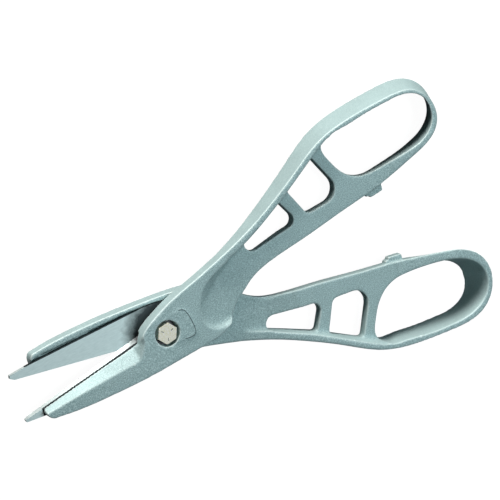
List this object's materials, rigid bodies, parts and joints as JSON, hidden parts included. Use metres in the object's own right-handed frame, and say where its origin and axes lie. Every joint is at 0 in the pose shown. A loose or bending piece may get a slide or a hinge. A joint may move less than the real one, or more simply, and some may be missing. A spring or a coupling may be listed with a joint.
{
  "type": "sheet metal snips",
  "caption": "Straight-cutting sheet metal hand snips with cast finger-loop handles, bolted-in steel blades and a hex-bolt pivot, shown open.",
  "frame": {"origin": "on the pivot axis, at the middle plane where the two blades slide on each other", "axes": "+Z along the pivot axis towards the bolt head; +X from the pivot towards the handles, half way between them; -X towards the blade tips; Y across the handles"},
  "size_m": [0.3505, 0.1796, 0.02],
  "materials": {
    "cast_aluminium": "as-cast, fine-grained, tumbled",
    "blade_steel": "ground",
    "plated_steel": "pale yellow zinc plating",
    "dark_steel": "black oxide",
    "nylon": "natural nylon"
  },
  "bodies": {
    "front_half": {"front_casting": "cast_aluminium", "front_blade": "blade_steel", "front_blade_screws": "dark_steel", "front_blade_pin": "dark_steel", "pivot_bolt": "plated_steel", "pivot_sleeve": "dark_steel", "head_washer": "dark_steel", "nut_washer": "dark_steel", "lock_nut": "plated_steel", "nut_insert": "nylon"},
    "rear_half": {"rear_casting": "cast_aluminium", "rear_blade": "blade_steel", "rear_blade_screws": "dark_steel", "rear_blade_pin": "dark_steel"}
  },
  "joints": [
    {"name": "pivot", "type": "hinge", "parent": "front_half", "child": "rear_half", "pos_m": [0, 0, 0], "axis": [0, 0, 1], "range_deg": [-20, 14.6]}
  ]
}
